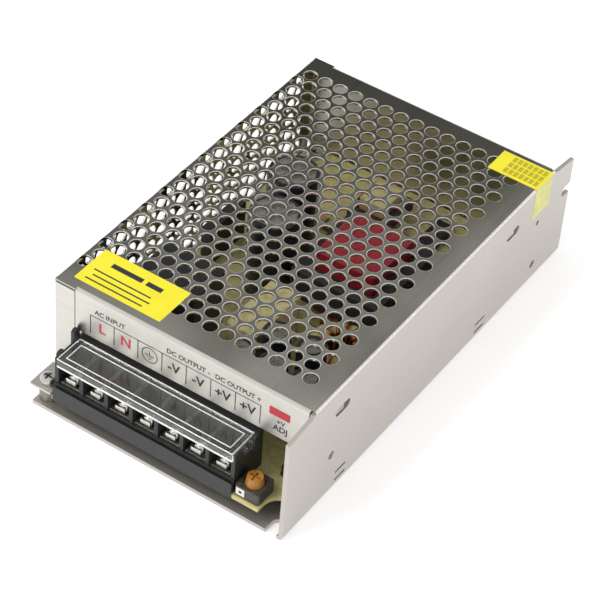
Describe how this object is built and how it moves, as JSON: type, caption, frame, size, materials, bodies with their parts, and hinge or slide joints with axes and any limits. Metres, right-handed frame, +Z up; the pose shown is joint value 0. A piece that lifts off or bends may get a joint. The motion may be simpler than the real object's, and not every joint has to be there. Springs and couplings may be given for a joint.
{
  "type": "mesh case switching power supply",
  "caption": "Open-ended switching power supply with a perforated folded cover, a folded chassis, a screw terminal block under a clear flip-up lid and an output adjuster.",
  "frame": {"origin": "on the surface the chassis stands on, under the middle of the overall box", "axes": "+X across the case to the solid side wall, +Y along the case from the terminals to the closed end, +Z up through the perforated cover"},
  "size_m": [0.098, 0.17, 0.045],
  "materials": {
    "aluminium_sheet": "satin",
    "plated_steel_sheet": "bright",
    "screw_steel": "bright",
    "circuit_board": "satin",
    "insulator": "matt",
    "block_plastic": "satin",
    "contact_metal": "bright",
    "adjuster_plastic": "gloss",
    "rotor_plastic": "gloss",
    "led_lens": "gloss",
    "choke_black": "matt",
    "capacitor_yellow": "gloss",
    "capacitor_blue": "gloss",
    "fuse_glass": "gloss",
    "thermistor_black": "matt",
    "package_black": "matt",
    "capacitor_sleeve": "gloss",
    "ferrite": "matt",
    "tape": "gloss",
    "ring_core": "satin",
    "winding_wire": "gloss",
    "aluminium_bar": "satin",
    "pad_rubber": "matt",
    "clamp_steel": "satin",
    "resistor_body": "matt",
    "clear_plastic": "clear, glossy"
  },
  "bodies": {
    "case": {"chassis": "aluminium_sheet", "cover": "plated_steel_sheet", "cover_screws": "screw_steel", "foot_spacers": "screw_steel", "board": "circuit_board", "board_spacers": "screw_steel", "board_screws": "screw_steel", "insulating_sheet": "insulator", "terminal_housing": "block_plastic", "terminal_contacts": "contact_metal", "trim_pot_body": "adjuster_plastic", "indicator_led": "led_lens", "line_choke": "choke_black", "film_capacitor": "capacitor_yellow", "disc_capacitors": "capacitor_blue", "fuse": "fuse_glass", "thermistor": "thermistor_black", "bridge_rectifier": "package_black", "bulk_capacitors": "capacitor_sleeve", "output_capacitors": "capacitor_sleeve", "main_transformer_core": "ferrite", "main_transformer_winding": "tape", "drive_transformer_core": "ferrite", "drive_transformer_winding": "tape", "inductor_core": "ring_core", "inductor_winding": "winding_wire", "heat_spreader": "aluminium_bar", "insulating_pads": "pad_rubber", "switching_transistors": "package_black", "output_rectifiers": "package_black", "clamp_bars": "clamp_steel", "bar_screws": "screw_steel", "control_chip": "package_black", "power_resistors": "resistor_body"},
    "lid": {"terminal_lid": "clear_plastic"},
    "terminal_1": {"terminal_screw_1": "screw_steel", "terminal_clamp_1": "clamp_steel"},
    "terminal_2": {"terminal_screw_2": "screw_steel", "terminal_clamp_2": "clamp_steel"},
    "terminal_3": {"terminal_screw_3": "screw_steel", "terminal_clamp_3": "clamp_steel"},
    "terminal_4": {"terminal_screw_4": "screw_steel", "terminal_clamp_4": "clamp_steel"},
    "terminal_5": {"terminal_screw_5": "screw_steel", "terminal_clamp_5": "clamp_steel"},
    "terminal_6": {"terminal_screw_6": "screw_steel", "terminal_clamp_6": "clamp_steel"},
    "terminal_7": {"terminal_screw_7": "screw_steel", "terminal_clamp_7": "clamp_steel"},
    "rotor": {"trim_pot_rotor": "rotor_plastic"}
  },
  "joints": [
    {"name": "lid_hinge", "type": "hinge", "parent": "case", "child": "lid", "pos_m": [-0.0046, -0.0741, 0.0248], "axis": [-1, 0, 0], "range_deg": [0, 88]},
    {"name": "terminal_1_lift", "type": "slide", "parent": "case", "child": "terminal_1", "axis": [0, 0, 1], "range_m": [0, 0.0028]},
    {"name": "terminal_2_lift", "type": "slide", "parent": "case", "child": "terminal_2", "axis": [0, 0, 1], "range_m": [0, 0.0028]},
    {"name": "terminal_3_lift", "type": "slide", "parent": "case", "child": "terminal_3", "axis": [0, 0, 1], "range_m": [0, 0.0028]},
    {"name": "terminal_4_lift", "type": "slide", "parent": "case", "child": "terminal_4", "axis": [0, 0, 1], "range_m": [0, 0.0028]},
    {"name": "terminal_5_lift", "type": "slide", "parent": "case", "child": "terminal_5", "axis": [0, 0, 1], "range_m": [0, 0.0028]},
    {"name": "terminal_6_lift", "type": "slide", "parent": "case", "child": "terminal_6", "axis": [0, 0, 1], "range_m": [0, 0.0028]},
    {"name": "terminal_7_lift", "type": "slide", "parent": "case", "child": "terminal_7", "axis": [0, 0, 1], "range_m": [0, 0.0028]},
    {"name": "rotor_turn", "type": "hinge", "parent": "case", "child": "rotor", "pos_m": [0.0344, -0.0796, 0.0126], "axis": [0, 0, 1], "range_deg": [-135, 135]}
  ]
}
